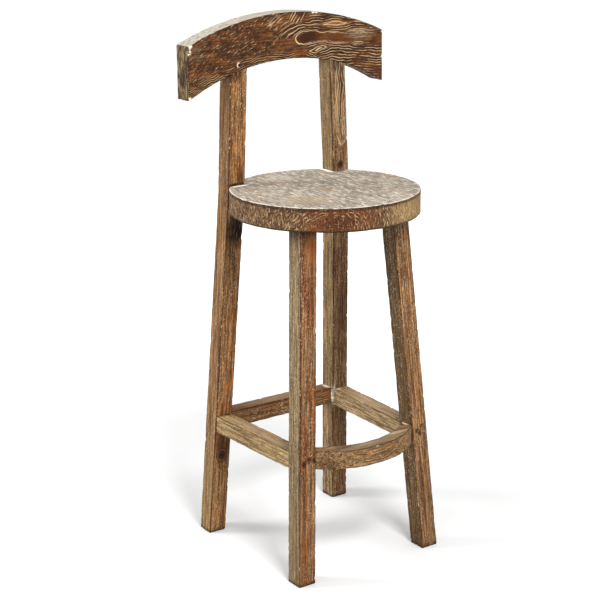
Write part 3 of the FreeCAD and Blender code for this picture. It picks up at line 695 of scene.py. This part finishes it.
def tongue_field(tree, space, centre, half, taper, turn=0.0):
    """Distance in metres from a line of twice half millimetres along X, turned about Y.

    Past the line's ends the distance grows more slowly by the taper, which draws the ends out.
    """
    centred = add(
        tree, "Mapping", CENTRED, {"Vector": space, "Location": Vector(centre) * MM, "Rotation": (0, turn, 0)}
    )
    apart = add(tree, "SeparateXYZ", inputs={"Vector": centred}, out="X")
    rise = add(tree, "SeparateXYZ", inputs={"Vector": centred}, out="Z")
    length = add(tree, "Math", "ABSOLUTE", (apart,))
    past = add(tree, "Math", "SUBTRACT", (length, half * MM))
    past = add(tree, "Math", "MAXIMUM", (past, 0.0))
    past = add(tree, "Math", "MULTIPLY", (past, taper))
    flat = add(tree, "CombineXYZ", inputs={"X": past, "Z": rise})
    return add(tree, "VectorMath", "LENGTH", (flat,), out="Value")


def parted(tree, space, centre, half, push, reach):
    """Space in which growth lines part round a lens of wood, and the depth inside that lens.

    The lens is twice half millimetres long and twice push millimetres high; lines further than
    reach millimetres above or below it run straight on.
    """
    place = add(tree, "VectorMath", "SUBTRACT", (space, Vector(centre) * MM))
    across = add(tree, "SeparateXYZ", inputs={"Vector": place}, out="X")
    rise = add(tree, "SeparateXYZ", inputs={"Vector": place}, out="Z")
    across = add(tree, "Math", "ABSOLUTE", (across,))
    height = add(tree, "Math", "ABSOLUTE", (rise,))
    side = add(tree, "Math", "SIGN", (rise,))
    swell = where(tree, (across, half, 0), (height, reach, 0))
    swell = add(tree, "Math", "MULTIPLY", (swell, push * MM))
    inside = add(tree, "Math", "SUBTRACT", (swell, height))
    shove = add(tree, "Math", "MULTIPLY", (swell, side))
    shove = add(tree, "CombineXYZ", inputs={"Z": shove})
    return add(tree, "VectorMath", "SUBTRACT", (space, shove)), inside


def crest_teak():
    """Flat-sawn crest rail: pale growth lines about a dark red tongue, parting round two lenses.

    The lime stands in the spring wood, so the growth lines read cream on brown.
    """
    material, tree = new_material("flat-sawn teak, limed, crest rail")
    grain = grain_of(tree, (0, 130, 1020), (1, 0, 0))
    space = wandering(tree, ((11.0, 0.020), (38.0, 0.010)))
    mottle = clouds(tree, grain, 14, 1.8, 0.40, 0.60, 4.0, 131.0)
    colour = stain(tree, "#693c18", "#3c1d09", mottle, 0.85)
    colour = patched(tree, colour, CREST_PATCHES)
    colour, grooves = brushed_and_limed(tree, grain, colour, "#210f05", "#a8875a", 180.0, 0.12)
    patchy = clouds(tree, grain, 9, 4.0, 0.40, 0.56, 3.0, 140.0)
    colour = tongue_and_lines(tree, grain, space, colour, patchy)
    colour = arch_lines_and_strokes(tree, space, colour, patchy)
    for bearing, centre, shift in ((0.95, (20, 108, 1069), 170.0), (0.65, (-30, 108, 1060), 176.0)):
        colour = fan(tree, colour, bearing, centre, shift)
    colour = worn_arrises(tree, grain, colour, "#120803", CREST_LIME, 185.0)
    colour = lime_ring(tree, colour, (-117.4, 108.5, 985.5), 4.6, "#c4b69c")
    colour = crest_borders(tree, grain, colour)
    waxed_surface(tree, colour, grooves)
    return material


def tongue_and_lines(tree, grain, space, colour, patchy):
    """Long growth lines about the tongue, which opens to the right of the crest."""
    x = add(tree, "SeparateXYZ", inputs={"Vector": space}, out="X")
    z = add(tree, "SeparateXYZ", inputs={"Vector": space}, out="Z")
    parting, lens = parted(tree, space, (114, 108, 1050), 56, 8.0, 45)
    parting, eye = parted(tree, parting, (68, 108, 1001), 40, 9.5, 30)
    main = tongue_field(tree, parting, (196, 108, 1016), 150, 0.42, math.radians(4.0))

    # At the tongue's left only the upper lines sweep on, and none crosses the fan.
    on_right = where(tree, (x, 30, 50))
    above = add(tree, "Math", "MAXIMUM", (where(tree, (z, 1028, 1040)), on_right))
    off_fan = spot(tree, (20, 108, 1072), 1.0, 0.5, (40, 100, 22))
    lines_here = where(tree, above, (x, -40, 10), (main, 8.0, 9.5), off_fan)
    colour = stain(tree, colour, CREST_DEEP, contour(tree, main, 5.4, 0.66, 1.6, lines_here), 0.62)
    pale_here = where(tree, lines_here, patchy)
    colour = stain(tree, colour, "#cdb68e", contour(tree, main, 5.4, 0.16, 0.75, pale_here), 0.6)

    # The tongue is dark red, nearly black at its tip, and has a pale outline.
    tongue = where(tree, (main, TONGUE_HALF, 11.2), (x, 178, 120))
    reddish = where(tree, tongue, clouds(tree, grain, 3, 6, 0.34, 0.60, 3.0, 148.0))
    colour = stain(tree, colour, "#4b260d", reddish, 0.85)
    dark_tip = where(tree, tongue, spot(tree, (46, 108, 1028), 8, 34, (1.2, 9, 0.8)))
    colour = stain(tree, colour, "#250f04", dark_tip, 0.85)
    ring = add(tree, "Math", "SUBTRACT", (main, TONGUE_HALF * MM))
    ring = add(tree, "Math", "ABSOLUTE", (ring,))
    outline = where(tree, (ring, 0.9, 0.2), (x, 200, 150), clouds(tree, grain, 7, 3, 0.34, 0.52, 2.0, 145.0))
    colour = stain(tree, colour, CREST_LIME, outline, 0.85)
    for inside, tint in ((lens, "#774a22"), (eye, "#3c1e0b")):
        held = where(tree, (inside, 0.0, 0.8))
        colour = stain(tree, colour, tint, held, 0.6)
        colour = stain(tree, colour, CREST_LIME, contour(tree, inside, 4.6, 0.07, 1.0, held), 0.85)
    return colour


def arch_lines_and_strokes(tree, space, colour, patchy):
    """Left half of the crest: lines that follow the arch's underside, short strokes above them."""
    x = add(tree, "SeparateXYZ", inputs={"Vector": space}, out="X")
    z = add(tree, "SeparateXYZ", inputs={"Vector": space}, out="Z")
    # Height above the underside's arc, which has fallen by x squared over twice its radius.
    fallen = add(tree, "Math", "MULTIPLY", (x, x))
    fallen = add(tree, "Math", "DIVIDE", (fallen, 2 * CREST_UNDER_RADIUS * MM))
    over_arch = add(tree, "Math", "ADD", (z, fallen))
    low_left = where(tree, (over_arch, 1020, 1002), (x, 30, 5), patchy)
    colour = stain(tree, colour, CREST_DEEP, contour(tree, over_arch, 4.4, 0.5, 1.5, low_left), 0.5)
    colour = stain(tree, colour, CREST_LIME, contour(tree, over_arch, 4.4, 0.0, 0.9, low_left), 0.4)

    # The strokes rise to the right.
    stroke_grain = grain_of(tree, (0, 108, 1020), (0.86, 0, 0.5))
    on_left = where(tree, (x, 30, -40), (over_arch, 1004, 1014))
    dark_strokes = clouds(tree, stroke_grain, 3.0, 5.0, 0.48, 0.62, 4.0, 163.0)
    colour = stain(tree, colour, CREST_DEEP, where(tree, dark_strokes, on_left), 0.55)
    strokes = clouds(tree, stroke_grain, 1.8, 6.0, 0.60, 0.70, 3.0, 160.0)
    return stain(tree, colour, CREST_LIME, where(tree, strokes, on_left), 0.5)


def fan(tree, colour, bearing, centre, shift):
    """Pale strokes that come off the crest's top edge, rising to the right by bearing radians."""
    fan_grain = grain_of(tree, centre, (math.cos(bearing), 0, math.sin(bearing)))
    strokes = clouds(tree, fan_grain, 3.0, 14, 0.54, 0.60, 1.0, shift)
    strokes = where(tree, strokes, spot(tree, centre, 0.5, 1.0, (27, 100, 16)))
    return stain(tree, colour, CREST_LIME, strokes, 0.6)


def crest_borders(tree, grain, colour):
    """Chips rubbed pale along the crest's edges, end grain on its ends and a top painted nearly white, a
    painted highlight.
    """
    place = add(tree, "TexCoord", out="Object")
    ragged = clouds(tree, place, 5, 1.0, 0.38, 0.5, 2.0, 310.0)
    for centre, reach in CREST_RUBS:
        chipped = where(tree, spot(tree, centre, reach * 0.4, reach), ragged)
        colour = stain(tree, colour, "#d0c6b2", chipped, 0.9)
    upright = clouds(tree, place, 2.6, 5, 0.44, 0.62, 4.0, 190.0)
    end_grain = stain(tree, "#2e1f0e", "#8d7752", upright, 0.8)
    end_grain = stain(tree, end_grain, "#140b04", spot(tree, (-233, 130, 965), 6, 22), 0.8)
    for outward in (-1, 1):
        colour = stain(tree, colour, end_grain, facing(tree, (outward, 0, 0), 0.6, 0.9), 0.9)
    # The top is painted pale grey, streaked with the grain: a painted highlight of the light from above.
    streaked = clouds(tree, grain, 2.8, 22, 0.5, 0.62, 3.0, 200.0)
    pale_lit_top = stain(tree, "#a09a8e", "#6a5d4b", streaked, 0.8)
    return stain(tree, colour, pale_lit_top, facing(tree, (0, 0, 1), 0.55, 0.85), 0.95)


def seat_teak():
    """Seat boards: a sanded top greyed all over with lime, end grain rings on the front rim."""
    material, tree = new_material("sanded teak, limed, seat")
    place = add(tree, "TexCoord", out="Object")
    edge = add(tree, "Attribute", {"attribute_name": "arris"}, out="Fac")
    top, flecks = seat_top(tree, place)
    rim = seat_rim(tree, place, edge)
    colour = stain(tree, rim, top, facing(tree, (0, 0, 1), 0.55, 0.85))
    patchy = clouds(tree, place, 14, 1.0, 0.30, 0.55, 2.0, 250.0)
    rubbed = where(tree, edge, patchy, facing(tree, (0, 0, 1), 0.3, 0.8))
    colour = stain(tree, colour, "#c9c2b6", rubbed, 0.8)
    grooves = add(tree, "Math", "SUBTRACT", (1.0, flecks))
    waxed_surface(tree, colour, grooves, 0.72, 0.3)
    return material


def seat_top(tree, place):
    """Warm and grey clouds with fine dark and pale flecks that run fore and aft."""
    grain = grain_of(tree, (0, 0, 703), (0, 1, 0))
    cloudy = clouds(tree, grain, 50, 1.4, 0.36, 0.62, 3.0, 210.0)
    warm = clouds(tree, grain, 60, 1.3, 0.46, 0.66, 2.0, 213.0)
    flecks = clouds(tree, grain, 2.6, 7.0, 0.48, 0.64, 4.0, 216.0)
    pale = clouds(tree, grain, 2.8, 6.0, 0.50, 0.66, 4.0, 219.0)
    specks = clouds(tree, grain, 2.4, 3.5, 0.59, 0.66, 3.0, 222.0)
    top = stain(tree, "#8a8173", "#72685a", cloudy, 0.8)
    top = stain(tree, top, "#92795c", warm, 0.4)
    # Near the left front edge the top is calmer and tanned.
    broken = clouds(tree, place, 18, 1.0, 0.36, 0.56, 2.0, 225.0)
    calm = where(tree, spot(tree, (-105, -88, 750), 10, 60, (1, 1, 9)), broken)
    top = stain(tree, top, "#94805f", calm, 0.35)
    lively = add(tree, "MapRange", inputs={"Value": calm, "To Min": 1.0, "To Max": 0.45})
    top = stain(tree, top, "#463a2e", where(tree, flecks, lively), 0.6)
    top = stain(tree, top, "#c9c2b6", where(tree, pale, lively), 0.7)
    top = stain(tree, top, "#33291f", where(tree, specks, lively), 0.5)
    return patched(tree, top, SEAT_PATCHES), flecks


def seat_rim(tree, place, edge):
    """Rim: dark red heart about the pith of the left board, khaki wood beside it."""
    x = add(tree, "SeparateXYZ", inputs={"Vector": place}, out="X")
    z = add(tree, "SeparateXYZ", inputs={"Vector": place}, out="Z")
    mottle = clouds(tree, place, 7, 1.6, 0.38, 0.56, 4.0, 230.0)
    rim = stain(tree, "#70563a", "#402a18", mottle, 0.85)
    front_face = facing(tree, (0, -1, 0), 0.15, 0.5)
    red_here = where(tree, (x, -152, -122), (x, 12, -48), front_face)
    rim = stain(tree, rim, "#5b3219", red_here, 0.95)
    rim = stain(tree, rim, "#b08c60", spot(tree, (60, -186, 726), 0.3, 1.0, (60, 60, 40)), 0.4)
    rim = stain(tree, rim, "#331706", spot(tree, (-88, -180, 722), 0.3, 1.0, (50, 60, 24)), 0.6)
    rim = rim_rings(tree, place, rim)
    rim = stain(tree, rim, "#8c724a", where(tree, (x, 0, 110), front_face), 0.6)

    # Upright strokes, pale ones thinner over the red wood; grime below the top and above the underside.
    pale_lines = clouds(tree, place, 2.0, 3.5, 0.55, 0.66, 4.0, 240.0)
    pale_share = add(tree, "MapRange", inputs={"Value": red_here, "To Min": 0.75, "To Max": 0.3})
    rim = stain(tree, rim, "#c0a57c", where(tree, pale_lines, pale_share), 0.9)
    dark_lines = clouds(tree, place, 2.0, 3.5, 0.49, 0.62, 4.0, 244.0)
    rim = stain(tree, rim, "#1c1007", dark_lines, 0.58)
    rim = stain(tree, rim, "#1c1008", where(tree, edge, facing(tree, (0, 0, 1), 0.5, 0.0)), 0.6)
    for start, end in ((741.5, 744.5), (708.0, 705.0)):
        rim = stain(tree, rim, "#1c1008", where(tree, (z, start, end)), 0.6)
    return rim


def rim_rings(tree, place, rim):
    """Arcs of end grain about the left board's pith, which lies just under the board."""
    space = wandering(tree, [(60.0, 0.014)], 3.0)
    centred = add(
        tree, "Mapping", CENTRED,
        {"Vector": space, "Location": Vector((-98, 0, 686)) * MM, "Scale": (1, 1e4, 1)},
    )
    radius = add(tree, "VectorMath", "LENGTH", (centred,), out="Value")
    arcs_here = clouds(tree, place, 9, 1.0, 0.46, 0.60, 2.0, 236.0)
    outer_rings = where(tree, (radius, 44, 52), (radius, 76, 66), arcs_here)
    rim = stain(tree, rim, "#1f0f05", contour(tree, radius, 5.2, 0.66, 1.7, arcs_here), 0.5)
    rim = stain(tree, rim, "#a58c68", contour(tree, radius, 5.2, 0.2, 0.9, arcs_here), 0.16)
    return stain(tree, rim, "#b0986f", contour(tree, radius, 5.2, 0.2, 1.1, outer_rings), 0.6)


def peg_teak():
    """End grain of the pegs: darker than the timbers because it drinks the wax."""
    material, tree = new_material("teak end grain, waxed dark")
    place = add(tree, "TexCoord", out="Object")
    speck = clouds(tree, place, 1.6, 1, 0.40, 0.62)
    colour = stain(tree, "#3a2412", "#6e5234", speck, 0.8)
    waxed_surface(tree, colour, speck, 0.75)
    return material


def zinc_steel():
    """Zinc-plated steel: pale grey metal with a faint mottled bloom."""
    material, tree = new_material("zinc-plated steel")
    place = add(tree, "TexCoord", out="Object")
    bloom = clouds(tree, place, 1.5, 1, 0.35, 0.65)
    colour = stain(tree, "#a9abad", "#c9cbca", bloom)
    roughness = add(tree, "MapRange", inputs={"Value": bloom, "To Min": 0.3, "To Max": 0.5})
    shader = add(
        tree, "BsdfPrincipled", inputs={"Base Color": colour, "Metallic": 1.0, "Roughness": roughness}
    )
    add(tree, "OutputMaterial", inputs={"Surface": shader})
    return material


# -------- studio

def make_studio():
    """Round sheet of pale paper, painted darker about the stool and whiter outwards as painted light; white
    surroundings and two soft boxes.
    """
    bm = bmesh.new()
    bmesh.ops.create_circle(bm, cap_ends=True, segments=96, radius=5.0)
    floor = add_object("floor", bm)
    material, tree = new_material("pale floor paper")
    # Painted light and shade: the paper is grey about the stool, which deepens the cast shadows there, and
    # painted white further out, where the lamps' light falls off.
    paper_painted_lit = spot(tree, (150, -450, 0), 2300, 600)
    paper = stain(tree, "#cccccc", "#ffffff", paper_painted_lit)
    shader = add(tree, "BsdfPrincipled", inputs={"Base Color": paper, "Roughness": 0.95})
    add(tree, "OutputMaterial", inputs={"Surface": shader})
    floor.data.materials.append(material)

    world = bpy.data.worlds.new("studio")
    world.use_nodes = True
    backdrop = world.node_tree.nodes["Background"]
    backdrop.inputs["Color"].default_value = (1.0, 1.0, 1.0, 1.0)
    backdrop.inputs["Strength"].default_value = 1.02
    scene.world = world

    soft_box("key", bearing=-14.0, height=46.0, watts=110.0)
    soft_box("side", bearing=-125.0, height=30.0, watts=60.0)


def soft_box(name, bearing, height, watts):
    """Square soft light aimed at the middle of the stool; bearing 0 is straight in front."""
    lamp = bpy.data.lights.new(name, "AREA")
    lamp.shape = "SQUARE"
    lamp.size = 0.9
    lamp.energy = watts
    a, e = math.radians(bearing), math.radians(height)
    out = Vector((math.sin(a) * math.cos(e), -math.cos(a) * math.cos(e), math.sin(e)))
    box = bpy.data.objects.new(name, lamp)
    box.location = Vector((0, 0, 0.45)) + out * 3.2
    box.rotation_euler = out.to_track_quat("Z", "Y").to_euler()
    scene.collection.objects.link(box)


def make_camera():
    """Camera 1.4 m up and 3.2 m away, facing the stool's left front corner."""
    aim = Vector((-8, 68, 505)) * MM
    azimuth, elevation, roll = math.radians(-35.0), math.radians(16.1), math.radians(-0.4)
    distance = 3.19
    out = Vector((
        math.sin(azimuth) * math.cos(elevation), -math.cos(azimuth) * math.cos(elevation), math.sin(elevation)
    ))
    lens = bpy.data.cameras.new("camera")
    lens.lens = 94.2
    lens.sensor_width = 36.0
    camera = bpy.data.objects.new("camera", lens)
    camera.location = aim + out * distance
    turned = out.to_track_quat("Z", "Y") @ Matrix.Rotation(roll, 3, "Z").to_quaternion()
    camera.rotation_euler = turned.to_euler()
    scene.collection.objects.link(camera)
    scene.camera = camera


make_camera()
make_studio()
scene.view_settings.view_transform = "Standard"

# Shades: centre and half sizes in millimetres, tint, strength.  Those at height 0 are soiled feet;
# those noted as painted shade darken the legs where the seat, the crest or the rails shade them.
leg_woods = {
    "front_leg_left": limed_teak(
        "front leg left", (-155, -143, 0), (0.065, 0.076, 1), "#84481b", "#2c1608", "#94805c",
        greyed=0.92, limed=0.26,
        marks=[((-148, -145, 247), 6.5), ((-136, -145, 254), 6.0), ((-124, -144, 250), 5.0)],
        shades=[
            ((-102, -112, 662), (22, 20, 50), "#94501e", 0.5),  # warm below the seat
            ((-175, -143, 100), (30, 50, 200), "#655033", 0.4),  # khaki below
            ((-155, -143, 0), (60, 60, 11), "#24160b", 0.85),
            ((-111, -91, 702), (50, 50, 30), "#1c0e05", 0.85),  # painted shade under the seat
        ],
    ),
    "front_leg_right": limed_teak(
        "front leg right", (155, -143, 0), (-0.065, 0.076, 1), "#986940", "#2b170a", "#634a28",
        shift=21.0, greyed=0.85,
        marks=[((132, -145, 254), 5.5), ((142, -146, 262), 5.5), ((139, -145, 247), 5.0)],
        shades=[
            ((111, -91, 702), (50, 50, 30), "#1c0e05", 0.75),  # painted shade under the seat
            ((155, -143, 0), (60, 60, 13), "#24160b", 0.85),
        ],
    ),
    "back_leg_left": limed_teak(
        "back leg left", (-160, 178, 0), (0.043, -0.04, 1), "#966334", "#2f190a", "#8a6a40",
        shift=43.0, greyed=0.5, marks=[((-153, 146, 174), 15.0)],
        shades=[
            ((-124, 113, 660), (42, 18, 46), "#100702", 1.0),  # painted shadow of the seat, near black
            ((-128, 109.5, 751), (30, 8, 5.5), "#170c05", 0.95),  # dark joint with the seat
            ((-150, 129, 880), (30, 50, 160), "#4d3317", 0.5),  # darker side
            ((-178, 172, 80), (20, 50, 180), "#a58a5c", 0.2),  # paler below
            ((-160, 178, 0), (60, 60, 11), "#24160b", 0.85),
            ((-149, 146, 196), (24, 14, 46), "#35200d", 0.85),  # dark wood about the knot, and painted shade under the left stretcher
            ((-128, 108, 968), (22, 20, 20), "#1c0e05", 0.8),  # painted shade under the crest
        ],
    ),
    "back_leg_right": limed_teak(
        "back leg right", (160, 178, 0), (-0.043, -0.04, 1), "#7c5230", "#2c180a", "#a3875a",
        shift=67.0, greyed=0.75, marks=[((126, 109, 762), 8.0)], loops=[((128, 109, 905), 55.0)],
        shades=[
            ((145, 138, 470), (30, 20, 300), "#321c0b", 0.6),  # darker above the rails: painted shade of the seat
            ((150, 148, 130), (30, 20, 160), "#3a210e", 0.5),  # darker below the rails: painted shade of the front legs
            ((112, 108, 968), (20, 20, 20), "#1c0e05", 0.8),  # painted shade under the crest
            ((103, 129, 850), (10, 40, 150), "#5d4a2f", 0.4),  # khaki inner side
            ((129.5, 141.5, 246), (8.5, 8.5, 36), "#f4efe4", 1.0),  # lime between the rails
            ((160, 178, 0), (60, 60, 13), "#24160b", 0.85),
        ],
    ),
}
rail_woods = {
    "left": limed_teak(
        "left stretcher", (-155, 0, 250), (0, 1, 0), "#9f7b4c", "#3d2611", "#a68e62", shift=81.0,
        marks=[((-158, 52, 232), 4.5)],
        shades=[
            ((-145, 139, 267), (30, 10, 8), "#170d06", 0.95),  # dark joint at the back leg
            ((-150, 0, 267), (30, 160, 6), "#948266", 0.5),  # paler top
        ],
    ),
    "right": limed_teak(
        "right stretcher", (155, 0, 250), (0, 1, 0), "#b59266", "#46301a", "#b8a078", shift=93.0,
        grey_side=(-0.9, 0, 0),
        shades=[
            ((135, 134, 266), (20, 8, 6), "#d6ccb8", 0.85),  # lime in the joint
            ((132, 142, 250), (8, 5, 20), "#e6dfd0", 0.8),
            ((130, -85, 266), (20, 7, 6), "#1c0e05", 0.8),  # dark joint at the front leg
            ((140, 10, 266), (30, 140, 6), "#a39379", 0.5),  # paler top
        ],
    ),
    "back": limed_teak(
        "back stretcher", (0, 160, 250), (1, 0, 0), "#7b4c25", "#331b0a", "#836236", shift=105.0,
        shades=[
            ((124, 160, 267), (8, 20, 6), "#d6ccb8", 0.85),  # lime in the joint
            ((130, 143, 248), (5, 8, 24), "#e6dfd0", 0.9),
            ((-126, 150, 250), (12, 20, 20), "#1c0e05", 0.7),  # dark left end
            ((0, 165, 268), (140, 30, 6), "#8d7a60", 0.5),  # paler top
        ],
    ),
    "front": limed_teak(
        "footrest", (0, -160, 250), (1, 0, 0), "#8d6840", "#341d0c", "#957a54", shift=117.0,
        shades=[
            ((-100, -158, 240), (30, 30, 20), "#2c170a", 0.6),  # dark left end
            ((121, -122, 268), (12, 16, 5), "#e0d8c8", 0.85),  # lime in the joint
            ((0, -170, 268), (130, 50, 6), "#6f604b", 0.7),  # greyed top, then scuffs
            ((-62, -156, 268), (30, 9, 6), "#35251a", 0.7),
            ((10, -182, 268), (40, 6, 6), "#3d2c1a", 0.6),
            ((70, -152, 268), (30, 10, 6), "#a8977b", 0.55),
            ((-20, -166, 268), (34, 7, 6), "#948266", 0.5),
        ],
    ),
}

make_legs(leg_woods)
make_side_stretcher("left", -1, wide=34.0, tall=37.5, wood=rail_woods["left"])
make_side_stretcher("right", 1, wide=36.0, tall=37.5, wood=rail_woods["right"])
make_back_stretcher(wide=36.0, tall=35.5, wood=rail_woods["back"])
make_footrest(rail_woods["front"])
make_crest(crest_teak())
make_seat(seat_teak())

peg_wood = peg_teak()
for word, side in SIDES:
    make_peg(f"crest_peg_{word}", 1, -1, peg_wood)
    make_peg(f"footrest_peg_{word}", 1, -1, peg_wood)
    make_peg(f"side_peg_{word}", 0, side, peg_wood)
    make_peg(f"back_peg_{word}", 1, 1, peg_wood)

# The dowels, plugs and screws keep their CAD shapes and take a finish.
finishes = {"seat_dowels": peg_wood, "seat_screw_plugs": peg_wood, "seat_screws": zinc_steel()}
for node, material in finishes.items():
    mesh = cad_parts[node].data
    mesh.materials.clear()
    mesh.materials.append(material)
